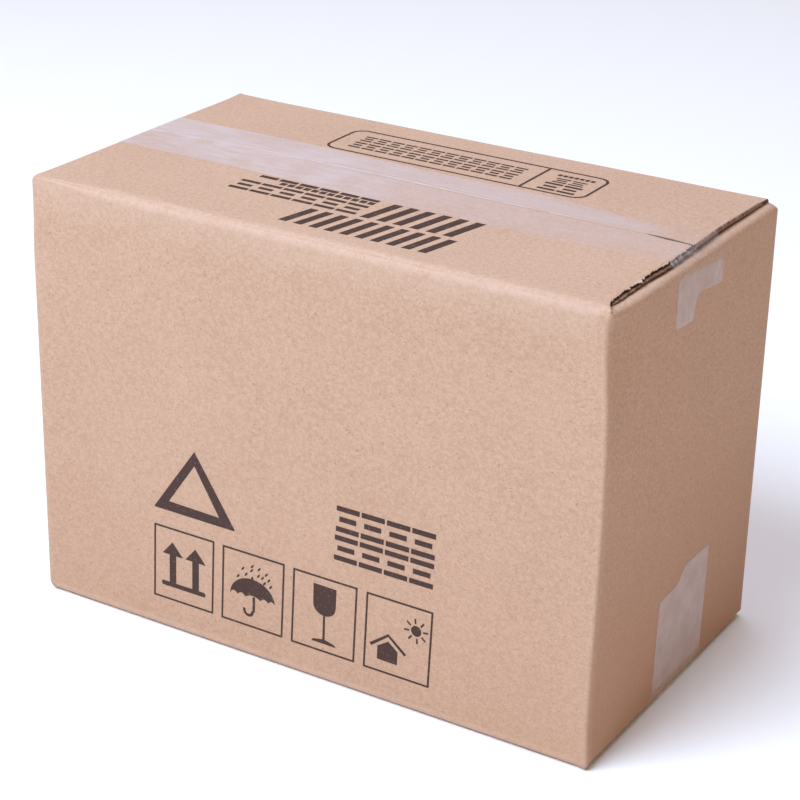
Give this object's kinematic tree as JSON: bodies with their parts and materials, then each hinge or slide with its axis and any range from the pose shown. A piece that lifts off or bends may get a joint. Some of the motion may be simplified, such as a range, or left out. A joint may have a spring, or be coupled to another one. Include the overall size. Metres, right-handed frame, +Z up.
{
  "type": "cardboard box",
  "caption": "Closed rectangular cardboard shipping box with folded flaps, taped shut along its top and bottom seams.",
  "frame": {"origin": "middle of the base, where the box stands", "axes": "+X along the length towards the end with the torn tape, +Y from the front wall to the back wall, +Z up"},
  "size_m": [0.2682, 0.1484, 0.194],
  "materials": {
    "board": "matt",
    "tape": "satin",
    "ink": "matt"
  },
  "bodies": {
    "root": {"carton": "board", "top_tape": "tape", "bottom_tape": "tape"}
  },
  "joints": []
}
